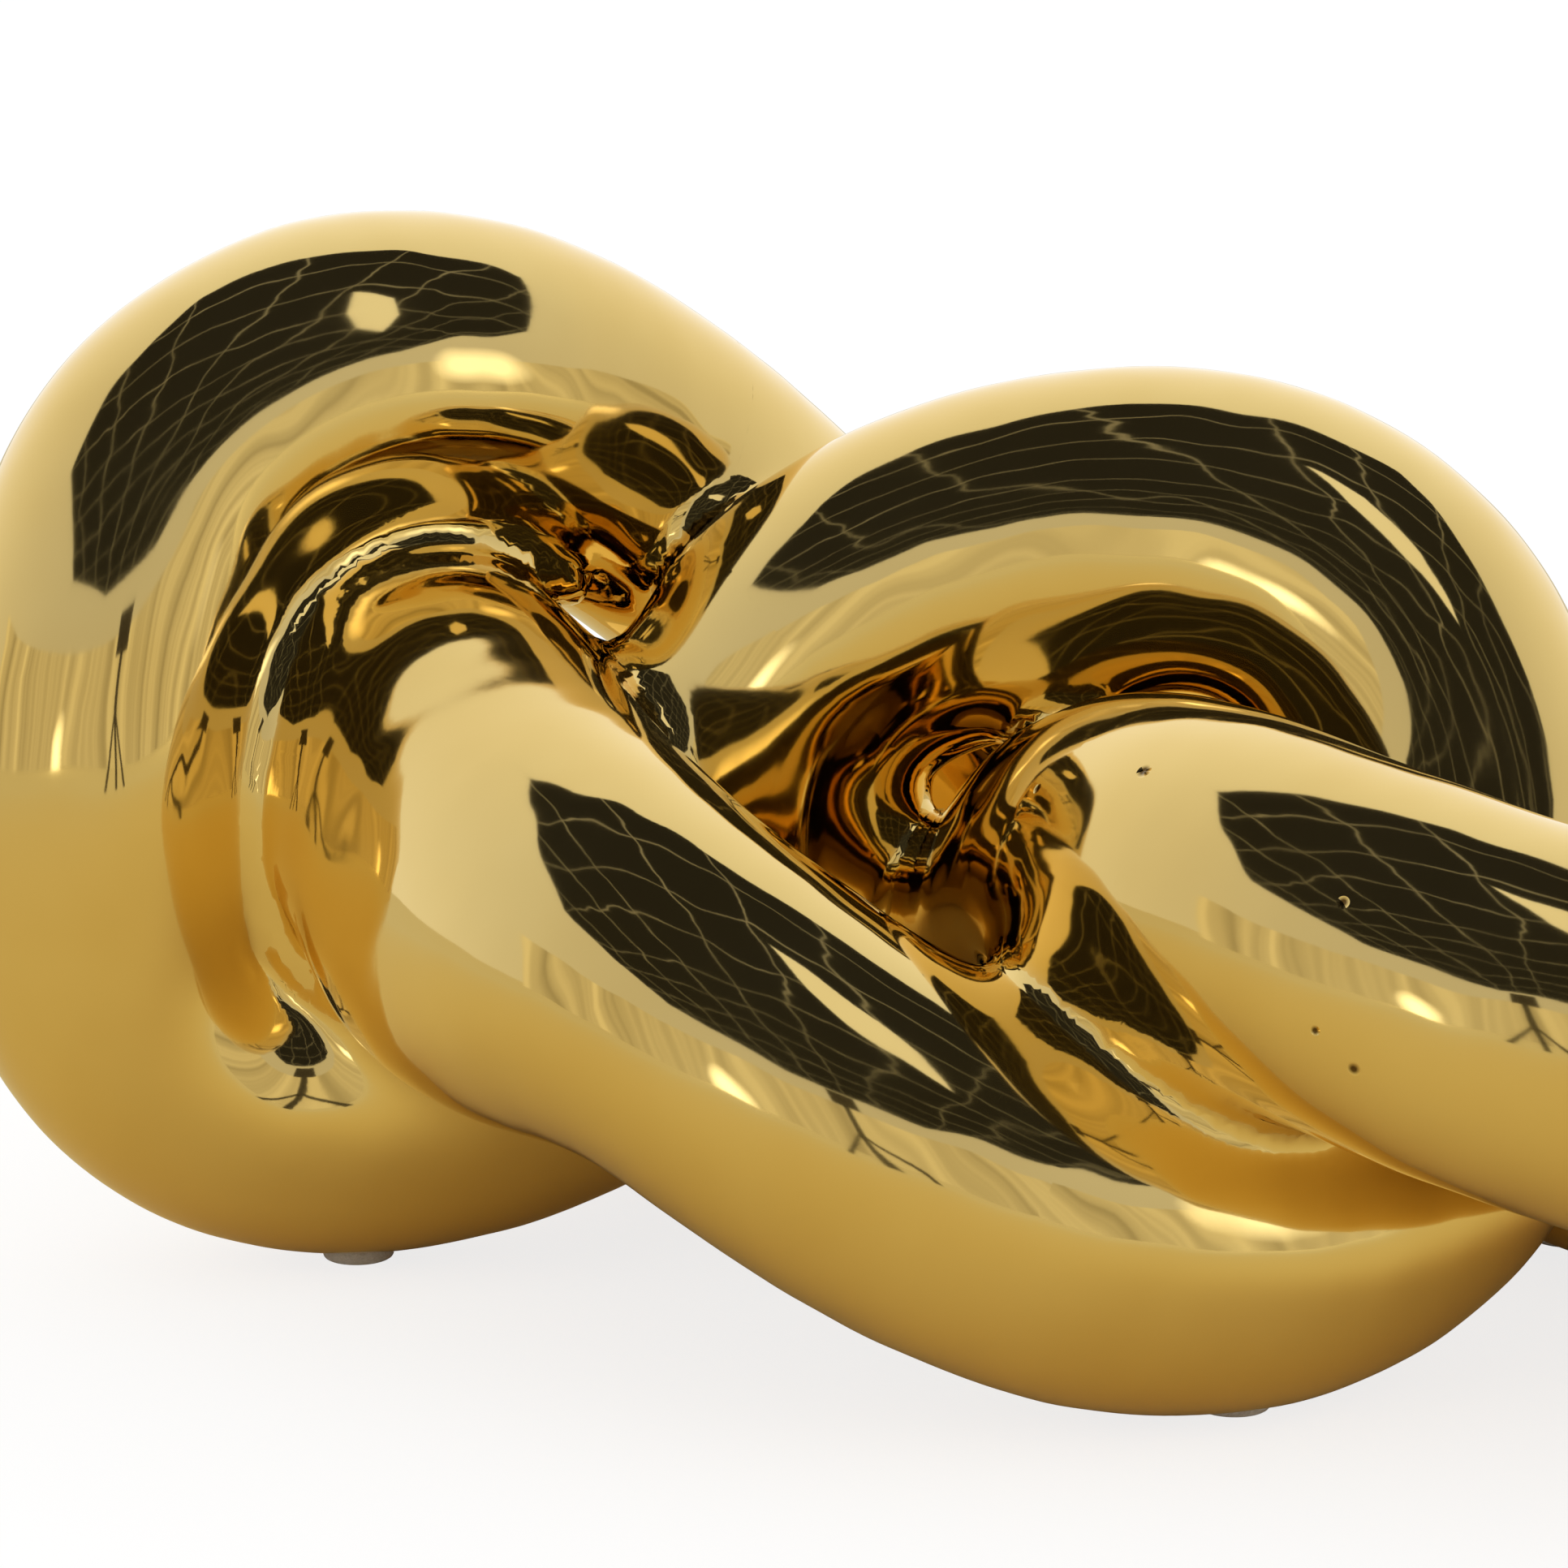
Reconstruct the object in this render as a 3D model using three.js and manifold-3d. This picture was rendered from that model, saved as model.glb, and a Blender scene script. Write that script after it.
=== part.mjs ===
// Ceramic knot sculpture: one thick hollow tube in a closed overhand knot, cast in short bends, luted with slip
// and covered in gold lustre. Millimetres, +Z up, origin on the table under the middle of the knot.
import * as THREE from "three";
import { mergeVertices } from "three/addons/utils/BufferGeometryUtils.js";
import Module from "manifold-3d";

const wasm = await Module();
wasm.setup();

// Driving dimensions
const TUBE_D = 46; // outside of the tube
const WALL = 4; // cast wall
const SLIP_T = 1.2; // layer of slip between two rims
const SLIP_SETBACK = 0.6; // slip wiped back below the outside
const BEAD_T = 2.4; // slip squeezed inward, as a bead inside the joint
const BEAD_W = 9; // bead along the tube
const BEAD_CLEARANCE = 0.9; // bead to the bore, whose facets run straight across a bend
const CLEARANCE = 0.3; // between neighbours that touch on the object
const FLAT_DEPTH = 1.8; // ground off the lowest points
const PAD_D = 10;
const PAD_T = 2;
const VENT_D = 6; // kiln vent under the rear strand

// Facets
const TUBE_SIDES = 20;
const BORE_SIDES = 12;
const PAD_SIDES = 24;
const FACET_LENGTH = 10; // along the tube
const BEAD_STEPS = 2;
const SEARCHES = 20; // places tried between two guide points, when a place on the knot is looked for

// Guide points of the knot's centreline, in tube diameters, as a tied rope keeps its lay at any thickness.
// The curve is a closed cubic B-spline, so it runs close to the points and not through them.
const PATH = [
  // Left loop, from its outer side down to the table and inward
  [-2.3, -0.72, 1.67], [-2.38, -0.64, 0.89], [-1.94, -0.37, 0.46], [-1.14, -0.04, 0.63],
  // Up through the middle of the knot
  [-0.61, 0.23, 1.13], [-0.6, 0.24, 1.71],
  // Over the top arch and down on the right
  [-0.29, 0.32, 2.06], [0.43, 0.5, 2.31], [1.16, 0.55, 2.2], [1.56, 0.45, 1.55], [1.65, 0.01, 0.82],
  // Along the front, from the table up to the left
  [1.32, -0.59, 0.47], [0.75, -1.13, 0.58], [0.05, -1.38, 1.04], [-0.56, -1.17, 1.36], [-1.03, -0.69, 1.52],
  // Through the left loop and down behind it
  [-1.37, -0.38, 1.72], [-1.57, 0.04, 1.67], [-1.98, 0.56, 1.12], [-1.57, 1.01, 0.65],
  // Under the middle, on the table, and up into the top arch
  [-0.57, 1.05, 0.45], [0.19, 0.65, 0.71], [0.54, -0.06, 1.36],
  // Out to the right, round the right loop and down to the table
  [1.01, -0.84, 1.57], [1.76, -1.23, 1.4], [2.45, -1.05, 1.19], [2.77, -0.47, 0.92], [2.6, 0.3, 0.64],
  // Along the rear and up to the left loop
  [1.98, 1.04, 0.5], [1.08, 1.59, 0.55], [0.15, 1.79, 0.86], [-0.59, 1.56, 1.48],
  // Crown of the left loop
  [-1.08, 0.97, 2.23], [-1.5, 0.28, 2.72], [-1.96, -0.18, 2.69], [-2.29, -0.49, 2.32],
];

// Cast sections in order round the knot. Each starts at a place on the path, counted in guide points, and runs
// to the start of the next one. A foot names the pad under the section's lowest point. A vent is a place too.
const SECTIONS = [
  { name: "left_loop_base", start: 0.2, foot: "felt_pad_left" },
  { name: "middle_strand", start: 3.3 },
  { name: "top_arch", start: 5.6 },
  { name: "right_bend", start: 9.2, foot: "felt_pad_front" },
  { name: "front_strand", start: 12.2 },
  { name: "hook_bend", start: 14.4 },
  { name: "back_bend", start: 17.3, foot: "felt_pad_back" },
  { name: "inner_arch", start: 20.6 },
  { name: "right_strand", start: 22.9 },
  { name: "right_loop", start: 25.4, foot: "felt_pad_right" },
  { name: "rear_strand", start: 28.9, vent: 30 },
  { name: "left_loop_crown", start: 32.3 },
];

const tubeRadius = TUBE_D / 2;
const boreRadius = tubeRadius - WALL;
const footHeight = PAD_T + CLEARANCE;

// Finishes
const goldLustre = { color: 0xc79a45, roughness: 0.08, metalness: 1 };
const barePaste = { color: 0xe6dccb, roughness: 0.85, metalness: 0 };
const greyFelt = { color: 0x3a3835, roughness: 1, metalness: 0 };

const guides = PATH.map((point) => new THREE.Vector3(...point).multiplyScalar(TUBE_D));

// Point of the closed cubic B-spline at a place counted in guide points
function pathPoint(place, target = new THREE.Vector3()) {
  const first = Math.floor(place);
  const t = place - first;
  const weights = [(1 - t) ** 3, 3 * t ** 3 - 6 * t ** 2 + 4, -3 * t ** 3 + 3 * t ** 2 + 3 * t + 1, t ** 3];
  target.set(0, 0, 0);
  weights.forEach((weight, k) => {
    const guide = guides[(first + k - 1 + guides.length) % guides.length];
    target.addScaledVector(guide, weight / 6);
  });
  return target;
}

function placesBetween(start, end) {
  const count = Math.ceil((end - start) * SEARCHES);
  return Array.from({ length: count + 1 }, (_, k) => THREE.MathUtils.lerp(start, end, k / count));
}

// The knot stands over the origin, lifted so that its lowest point loses FLAT_DEPTH where it is ground.
const reach = new THREE.Box3().setFromPoints(placesBetween(0, PATH.length).map((place) => pathPoint(place)));
const base = reach.getCenter(new THREE.Vector3());
base.z = reach.min.z - tubeRadius - (footHeight - FLAT_DEPTH);

function knotPoint(place, target) {
  return pathPoint(place, target).sub(base);
}

function lowestPlace(start, end) {
  const heights = placesBetween(start, end).map((place) => ({ place, z: knotPoint(place).z }));
  return heights.reduce((low, next) => (next.z < low.z ? next : low)).place;
}

// Place at a distance along the knot, for distances that are short beside a bend
function placeAlong(place, distance) {
  const step = 1 / SEARCHES;
  const speed = knotPoint(place + step).distanceTo(knotPoint(place - step)) / (2 * step);
  return place + distance / speed;
}

// Stretch of the knot's centreline between two places
class Strand extends THREE.Curve {
  constructor(start, end) {
    super();
    this.start = start;
    this.end = end;
  }

  getPoint(t, target) {
    return knotPoint(THREE.MathUtils.lerp(this.start, this.end, t), target);
  }
}

function circle(radius, sides) {
  return Array.from({ length: sides }, (_, k) => {
    const angle = (2 * Math.PI * k) / sides;
    return new THREE.Vector2(radius * Math.cos(angle), radius * Math.sin(angle));
  });
}

function tubeSection(outer, sides, inner, innerSides) {
  const shape = new THREE.Shape(circle(outer, sides));
  if (inner) shape.holes.push(new THREE.Path(circle(inner, innerSides)));
  return shape;
}

function toSolid(geometry) {
  const bare = geometry.clone();
  bare.deleteAttribute("normal");
  bare.deleteAttribute("uv");
  const merged = mergeVertices(bare, 1e-4);
  const vertProperties = new Float32Array(merged.attributes.position.array);
  const triVerts = new Uint32Array(merged.index.array);
  return new wasm.Manifold(new wasm.Mesh({ numProp: 3, vertProperties, triVerts }));
}

function toMesh(name, solid, finish) {
  const { vertProperties, triVerts } = solid.getMesh();
  const geometry = new THREE.BufferGeometry();
  geometry.setAttribute("position", new THREE.BufferAttribute(vertProperties, 3));
  geometry.setIndex(new THREE.BufferAttribute(triVerts, 1));
  geometry.computeVertexNormals();
  return namedMesh(name, geometry, finish);
}

function namedMesh(name, geometry, finish) {
  const mesh = new THREE.Mesh(geometry, new THREE.MeshStandardMaterial(finish));
  mesh.name = name;
  return mesh;
}

function sweep(shape, start, end, steps) {
  const strand = new Strand(start, end);
  const count = steps ?? Math.ceil(strand.getLength() / FACET_LENGTH);
  return toSolid(new THREE.ExtrudeGeometry(shape, { steps: count, extrudePath: strand }));
}

// Where each section runs, from its start to the next section's start
const spans = SECTIONS.map(({ start }, k) => {
  const next = SECTIONS[k + 1];
  const end = next ? next.start : SECTIONS[0].start + PATH.length;
  return { start, end, points: placesBetween(start, end).map((place) => knotPoint(place)) };
});

function areNeighbours(a, b) {
  const apart = Math.abs(a - b);
  return apart <= 1 || apart === SECTIONS.length - 1;
}

function strandsTouch(a, b) {
  const touching = TUBE_D + 2 * CLEARANCE;
  return spans[a].points.some((p) => spans[b].points.some((q) => p.distanceTo(q) < touching));
}

// Each section as a full bar, a clearance larger than its tube, to cut its seat in what it touches
const seatBars = spans.map(({ start, end }) => {
  return sweep(tubeSection(tubeRadius + CLEARANCE, TUBE_SIDES), start, end);
});

// Cuts a piece of one section where later sections of the knot rest against it
function seatAgainstLater(solid, section) {
  return seatBars.reduce((rest, bar, other) => {
    const touches = other > section && !areNeighbours(section, other) && strandsTouch(section, other);
    return touches ? rest.subtract(bar) : rest;
  }, solid);
}

function groundFlat() {
  const slab = new THREE.BoxGeometry(10 * TUBE_D, 10 * TUBE_D, TUBE_D);
  slab.translate(0, 0, footHeight - TUBE_D / 2);
  return toSolid(slab);
}

function kilnVent(place) {
  const centre = knotPoint(place);
  const drill = new THREE.CylinderGeometry(VENT_D / 2, VENT_D / 2, tubeRadius, BORE_SIDES);
  drill.rotateX(Math.PI / 2);
  drill.translate(centre.x, centre.y, centre.z - tubeRadius);
  return toSolid(drill);
}

function castSection(section) {
  const { start, end } = spans[section];
  const { name, foot, vent } = SECTIONS[section];
  const setback = SLIP_T / 2 + CLEARANCE;
  const wall = tubeSection(tubeRadius, TUBE_SIDES, boreRadius, BORE_SIDES);
  let solid = sweep(wall, placeAlong(start, setback), placeAlong(end, -setback));
  solid = seatAgainstLater(solid, section);
  if (foot) solid = solid.subtract(groundFlat());
  if (vent) solid = solid.subtract(kilnVent(vent));
  return toMesh(name, solid, goldLustre);
}

// Ring of slip at the end of a section: a flange between the two rims, and a bead inside them
function slipRing(section) {
  const joint = spans[section].end;
  const beadOuter = boreRadius * Math.cos(Math.PI / BORE_SIDES) - BEAD_CLEARANCE;
  const beadInner = beadOuter - BEAD_T;
  const beadMiddle = beadOuter - BEAD_T / 2;
  const flange = tubeSection(tubeRadius - SLIP_SETBACK, TUBE_SIDES, beadMiddle, BORE_SIDES);
  const bead = tubeSection(beadOuter, BORE_SIDES, beadInner, BORE_SIDES);
  const flangeSolid = sweep(flange, placeAlong(joint, -SLIP_T / 2), placeAlong(joint, SLIP_T / 2), 1);
  const beadSolid = sweep(bead, placeAlong(joint, -BEAD_W / 2), placeAlong(joint, BEAD_W / 2), BEAD_STEPS);
  const solid = seatAgainstLater(flangeSolid.add(beadSolid), section);
  return toMesh(`slip_ring_${section + 1}`, solid, barePaste);
}

function feltPad(section) {
  const { start, end } = spans[section];
  const seat = knotPoint(lowestPlace(start, end));
  const disc = new THREE.CylinderGeometry(PAD_D / 2, PAD_D / 2, PAD_T, PAD_SIDES);
  disc.rotateX(Math.PI / 2);
  const pad = namedMesh(SECTIONS[section].foot, disc, greyFelt);
  pad.position.set(seat.x, seat.y, PAD_T / 2);
  return pad;
}

const knot = new THREE.Group();
SECTIONS.forEach(({ foot }, section) => {
  knot.add(castSection(section));
  knot.add(slipRing(section));
  if (foot) knot.add(feltPad(section));
});

export default knot;
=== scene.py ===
"""Ceramic knot sculpture: its glazed walls, felt pads, studio and camera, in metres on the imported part."""
import math

import bmesh
import bpy
import numpy as np
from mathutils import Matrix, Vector


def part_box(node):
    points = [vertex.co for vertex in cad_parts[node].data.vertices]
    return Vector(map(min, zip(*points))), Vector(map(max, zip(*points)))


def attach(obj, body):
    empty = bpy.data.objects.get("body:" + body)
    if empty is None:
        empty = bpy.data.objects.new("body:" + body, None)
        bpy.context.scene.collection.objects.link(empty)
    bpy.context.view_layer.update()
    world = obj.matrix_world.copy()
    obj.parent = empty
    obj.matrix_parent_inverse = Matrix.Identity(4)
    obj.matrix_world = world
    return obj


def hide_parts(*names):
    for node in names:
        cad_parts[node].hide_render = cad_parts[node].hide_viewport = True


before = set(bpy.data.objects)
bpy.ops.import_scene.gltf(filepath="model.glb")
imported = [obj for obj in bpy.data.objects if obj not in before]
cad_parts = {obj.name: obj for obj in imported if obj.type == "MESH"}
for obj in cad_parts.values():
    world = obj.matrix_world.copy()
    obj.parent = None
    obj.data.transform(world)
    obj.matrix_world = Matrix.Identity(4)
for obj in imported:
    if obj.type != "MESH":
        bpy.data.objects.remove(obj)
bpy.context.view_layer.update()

# Sizes of the part, in millimetres
MM = 0.001
TUBE_D = 46.0
RADIUS = TUBE_D / 2
WALL = 4.0
CLEARANCE = 0.3
FLAT_DEPTH = 1.8
PAD_T = 2.0
FOOT_Z = PAD_T + CLEARANCE
VENT_D = 6.0
VENT_DEPTH = 9.0

# Felt pads: sides, rounded share of the thickness, steps of that rounding, inner ring's share of the radius
PAD_SIDES = 48
PAD_ROUNDING = 0.3
PAD_STEPS = 4
PAD_INNER = 0.5

# Guide points of the knot's centreline, in tube diameters
PATH = np.array([
    # Left loop, from its outer side down to the table and inward
    [-2.3, -0.72, 1.67], [-2.38, -0.64, 0.89], [-1.94, -0.37, 0.46], [-1.14, -0.04, 0.63],
    # Up through the middle of the knot
    [-0.61, 0.23, 1.13], [-0.6, 0.24, 1.71],
    # Over the top arch and down on the right
    [-0.29, 0.32, 2.06], [0.43, 0.5, 2.31], [1.16, 0.55, 2.2], [1.56, 0.45, 1.55], [1.65, 0.01, 0.82],
    # Along the front, from the table up to the left
    [1.32, -0.59, 0.47], [0.75, -1.13, 0.58], [0.05, -1.38, 1.04], [-0.56, -1.17, 1.36],
    [-1.03, -0.69, 1.52],
    # Through the left loop and down behind it
    [-1.37, -0.38, 1.72], [-1.57, 0.04, 1.67], [-1.98, 0.56, 1.12], [-1.57, 1.01, 0.65],
    # Under the middle, on the table, and up into the top arch
    [-0.57, 1.05, 0.45], [0.19, 0.65, 0.71], [0.54, -0.06, 1.36],
    # Out to the right, round the right loop and down to the table
    [1.01, -0.84, 1.57], [1.76, -1.23, 1.4], [2.45, -1.05, 1.19], [2.77, -0.47, 0.92], [2.6, 0.3, 0.64],
    # Along the rear and up to the left loop
    [1.98, 1.04, 0.5], [1.08, 1.59, 0.55], [0.15, 1.79, 0.86], [-0.59, 1.56, 1.48],
    # Crown of the left loop
    [-1.08, 0.97, 2.23], [-1.5, 0.28, 2.72], [-1.96, -0.18, 2.69], [-2.29, -0.49, 2.32],
])
PATH_STEP = 0.05

# Cast sections in order, each with the place on the path where it starts, counted in guide points
SECTIONS = {
    "left_loop_base": 0.2, "middle_strand": 3.3, "top_arch": 5.6, "right_bend": 9.2,
    "front_strand": 12.2, "hook_bend": 14.4, "back_bend": 17.3, "inner_arch": 20.6,
    "right_strand": 22.9, "right_loop": 25.4, "rear_strand": 28.9, "left_loop_crown": 32.3,
}
SECTION_SAMPLES = 90
VENT_AT = 30.0
PADS = ["felt_pad_left", "felt_pad_front", "felt_pad_back", "felt_pad_right"]

# Skin, in millimetres: cells of its grid, width and depth of its fillets, edge of the ground flats
CELL = 1.3
FILLET = 16.0
FILLET_DEPTH = FILLET / 6
FLAT_EDGE = 0.8

# Bead of glaze in the groove between the left loop and the hook, in millimetres
BEAD_R = 2.4
BEAD_EXTRA = 1.0
BEAD_FILLET = 2.5

# Way to the front of the sculpture, the side of the groove on which the bead lies
FRONT = np.array([0.34, -0.94, 0.0])

# Ends of the bead on the loop, the stretch of the hook beside it and the length of its tips, in guide points
BEAD_FROM, BEAD_TO = 32.3, 38.8
BEAD_STRAND = (13.0, 16.6)
BEAD_TAPER = 0.6

# Share of the bead's radius at its tips, its samples and the hook's, and half the width of its smoothing
BEAD_TIP = 0.5
BEAD_SAMPLES = 420
BEAD_STRAND_SAMPLES = 400
BEAD_SMOOTHING = 30

# Filling of the hook's lower flank: its ends in guide points, its offset and fillet in millimetres
FLANK_FROM, FLANK_TO = 13.2, 16.8
FLANK_SHIFT = np.array([-4.0, -1.0, -13.0])
FLANK_FILLET = 10.0
FLANK_FILLET_LEAST = 0.01

# Ripples of the glaze, as waves of many lengths in millimetres, all about as steep
RIPPLE_LONGEST, RIPPLE_SHORTEST = 44, 6.5
RIPPLE_COUNT = 16
RIPPLE_SLOPE = 0.0075
RIPPLE_SEED = 11

# Steps that settle the skin's points and even them out
NEAREST_ROUNDS = 3
FIRST_ROUNDS, LAST_ROUNDS = 3, 2
RELAX = 0.5
RELAX_ROUNDS = 4
EVEN_ROUNDS = 7
STEEP_LEAST = 0.2

# Reaches of the searches: in millimetres, in bead radii, and in cells round the knot and the bead
NEAR = 6.0
BEAD_SPAN = 3
GRID_MARGIN = 4
BEAD_MARGIN = 2

# A distance beyond the whole knot, and one that keeps a division from zero
FAR_OFF = 1e3
TINY = 1e-6

NAMES = list(SECTIONS)
COUNT = len(NAMES)
STARTS = np.array(list(SECTIONS.values()))
ENDS = np.append(STARTS[1:], STARTS[0] + len(PATH))


def path_point(place):
    """Points, first and second derivatives of the closed cubic B-spline, in millimetres."""
    first = np.floor(place).astype(int)
    t = place - first
    s = 1 - t
    weights = (s ** 3, 3 * t ** 3 - 6 * t ** 2 + 4, -3 * t ** 3 + 3 * t ** 2 + 3 * t + 1, t ** 3)
    slopes = (-3 * s ** 2, 9 * t ** 2 - 12 * t, -9 * t ** 2 + 6 * t + 3, 3 * t ** 2)
    bends = (6 * s, 18 * t - 12, -18 * t + 6, 6 * t)
    guides = [PATH[(first + k - 1) % len(PATH)] * (TUBE_D / 6) for k in range(4)]
    return tuple(sum(w[:, None] * g for w, g in zip(ws, guides)) for ws in (weights, slopes, bends))


def knot_base():
    """The point of the path's own frame that is the part's origin."""
    points = path_point(np.arange(0, len(PATH), PATH_STEP))[0]
    base = (points.min(axis=0) + points.max(axis=0)) / 2
    base[2] = points[:, 2].min() - RADIUS - (FOOT_Z - FLAT_DEPTH)
    return base


BASE = knot_base()


def knot_point(place):
    """Points of the centreline in the part's frame, with its slope and bend."""
    point, slope, bend = path_point(place)
    return point - BASE, slope, bend


SAMPLES = []
for start, end in zip(STARTS, ENDS):
    section_places = np.linspace(start, end, SECTION_SAMPLES)
    SAMPLES.append((section_places, knot_point(section_places)[0]))
VENT_CENTRE = knot_point(np.array([VENT_AT]))[0][0]

# Which sections follow each other round the knot
STEPS_APART = np.abs(np.subtract.outer(np.arange(COUNT), np.arange(COUNT)))
FOLLOWS = (STEPS_APART <= 1) | (STEPS_APART == COUNT - 1)


def smoothed(rows, width):
    """Running mean down the rows, which keeps the ends in place."""
    padded = np.pad(rows, ((width, width), (0, 0)), mode="reflect", reflect_type="odd")
    totals = np.cumsum(np.vstack([np.zeros(rows.shape[1]), padded]), axis=0)
    return (totals[2 * width + 1:] - totals[:-2 * width - 1]) / (2 * width + 1)


def flank_share(place):
    """Share of its full offset that the flank's filling has at a place, and that share's slope and bend."""
    rate = math.pi / (FLANK_TO - FLANK_FROM)
    turn = rate * (np.clip(place, FLANK_FROM, FLANK_TO) - FLANK_FROM)
    return np.sin(turn) ** 2, rate * np.sin(2 * turn), 2 * rate * rate * np.cos(2 * turn)


def flank_point(place):
    """Centreline of the flank's filling, with its slope and bend."""
    parts = zip(knot_point(place), flank_share(place))
    return tuple(part + np.multiply.outer(share, FLANK_SHIFT) for part, share in parts)


FLANK_PLACES = np.linspace(FLANK_FROM, FLANK_TO, SECTION_SAMPLES)
FLANK_SAMPLES = flank_point(FLANK_PLACES)[0]
FLANK_HOSTS = [NAMES.index(name) for name in ("front_strand", "hook_bend")]


def glaze_bead():
    """Centres, ways and radii of the bead in the front of the groove between the left loop and the hook."""
    places = np.linspace(BEAD_FROM, BEAD_TO, BEAD_SAMPLES)
    loop, slope, _ = knot_point(places)
    hook = flank_point(np.linspace(*BEAD_STRAND, BEAD_STRAND_SAMPLES))[0]
    apart = np.linalg.norm(loop[:, None] - hook[None], axis=2)
    across = hook[apart.argmin(axis=1)] - loop
    half = apart.min(axis=1) / 2
    side = np.cross(slope, across)
    side *= np.where(side @ FRONT < 0, -1, 1)[:, None] / np.linalg.norm(side, axis=1)[:, None]
    radii = np.maximum(BEAD_R, half - RADIUS + BEAD_EXTRA)
    floor = RADIUS + np.maximum(FILLET_DEPTH, half - RADIUS + BEAD_EXTRA)
    lift = np.sqrt(np.maximum(floor ** 2 - half ** 2, 0))
    centres = smoothed(loop + across / 2 + lift[:, None] * side, BEAD_SMOOTHING)
    ways = np.gradient(centres, axis=0)
    taper = np.clip(np.minimum(places - BEAD_FROM, BEAD_TO - places) / BEAD_TAPER, 0, 1)
    swell = BEAD_TIP + (1 - BEAD_TIP) * taper * taper * (3 - 2 * taper)
    radii = smoothed(radii[:, None], BEAD_SMOOTHING)[:, 0] * swell
    return centres, ways / np.linalg.norm(ways, axis=1)[:, None], radii


BEAD_CENTRES, BEAD_WAYS, BEAD_RADII = glaze_bead()
BEAD_REACH = BEAD_SPAN * BEAD_RADII.max() + BEAD_FILLET
BEAD_INNER = np.ones(BEAD_SAMPLES)
BEAD_INNER[[0, -1]] = 0

RIPPLE_LENGTHS = np.geomspace(RIPPLE_LONGEST, RIPPLE_SHORTEST, RIPPLE_COUNT)
RIPPLE_RANDOM = np.random.default_rng(RIPPLE_SEED)
RIPPLE_WAYS = RIPPLE_RANDOM.normal(size=(RIPPLE_COUNT, 3))
RIPPLE_WAYS /= np.linalg.norm(RIPPLE_WAYS, axis=1)[:, None]
RIPPLE_WAVES = RIPPLE_WAYS * (2 * math.pi / RIPPLE_LENGTHS)[:, None]
RIPPLE_PHASES = RIPPLE_RANDOM.uniform(0, 2 * math.pi, RIPPLE_COUNT)
RIPPLE_HEIGHTS = RIPPLE_SLOPE * RIPPLE_LENGTHS / (2 * math.pi)


def ripple(points):
    """Height and gradient of the ripples."""
    phase = points @ RIPPLE_WAVES.T + RIPPLE_PHASES
    return np.sin(phase) @ RIPPLE_HEIGHTS, (np.cos(phase) * RIPPLE_HEIGHTS) @ RIPPLE_WAVES


def smooth_least(a, b, width):
    """Smooth minimum of two distances where a <= b, and b's share of its gradient."""
    blend = np.clip(1 - (b - a) / width, 0, 1)
    return a - blend ** 3 * width / 6, blend ** 2 / 2


def smooth_join(first, second, width):
    """Smooth minimum of two distances, and the second's share of its gradient."""
    joined, share = smooth_least(np.minimum(first, second), np.maximum(first, second), width)
    return joined, np.where(second < first, 1 - share, share)


def nearest_places(points, places, samples, curve):
    """Nearest places and points of a centreline, exact for points near its skin."""
    square = (samples ** 2).sum(axis=1) - 2 * points @ samples.T
    nearest = square.argmin(axis=1)
    place, foot = places[nearest], samples[nearest]
    limit = (RADIUS + FILLET + NEAR) ** 2
    close = np.flatnonzero(square.min(axis=1) + (points ** 2).sum(axis=1) < limit)
    near = place[close]
    for _ in range(NEAREST_ROUNDS):
        centre, slope, bend = curve(near)
        away = centre - points[close]
        turn = (away * slope).sum(axis=1) / ((slope ** 2).sum(axis=1) + (away * bend).sum(axis=1))
        near = np.clip(near - turn, places[0], places[-1])
    place[close], foot[close] = near, curve(near)[0]
    return place, foot


def add_flank(points, far, away):
    """Blends the filling of the hook's flank into the distances to the sections it belongs to."""
    place, foot = nearest_places(points, FLANK_PLACES, FLANK_SAMPLES, flank_point)
    side = points - foot
    reach = np.linalg.norm(side, axis=1)
    rows = np.arange(len(points))
    first, second = FLANK_HOSTS
    base = np.where(far[first] < far[second], first, second)
    host = np.where(place < STARTS[second], first, second)
    tube = far[base, rows]
    width = np.maximum(FLANK_FILLET * flank_share(place)[0], FLANK_FILLET_LEAST)
    joined, share = smooth_join(tube, reach, width)
    share = share[:, None]
    tube_way = away[base, rows] / tube[:, None]
    flank_way = side / np.maximum(reach, TINY)[:, None]
    way = tube_way * (1 - share) + flank_way * share
    near = np.flatnonzero(joined < tube)
    far[host[near], near] = joined[near]
    away[host[near], near] = way[near] * joined[near][:, None]


def add_bead(points, field, gradient, close):
    """Blends the bead into the field of the points that are close to two strands."""
    side = points[close][:, None] - BEAD_CENTRES[None]
    far = np.linalg.norm(side, axis=2)
    nearest = (far - BEAD_RADII).argmin(axis=1)
    out = side[np.arange(len(close)), nearest]
    along = (out * BEAD_WAYS[nearest]).sum(axis=1)
    out = out - along[:, None] * BEAD_WAYS[nearest] * BEAD_INNER[nearest][:, None]
    reach = np.maximum(np.linalg.norm(out, axis=1), TINY)
    field[close], share = smooth_join(field[close], reach - BEAD_RADII[nearest], BEAD_FILLET)
    share = share[:, None]
    gradient[close] = gradient[close] * (1 - share) + out / reach[:, None] * share


def strands(points):
    """Distances from each section's centreline, and the ways out from it."""
    away = np.stack([points - nearest_places(points, *samples, knot_point)[1] for samples in SAMPLES])
    far = np.linalg.norm(away, axis=2)
    add_flank(points, far, away)
    return far, away


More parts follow.
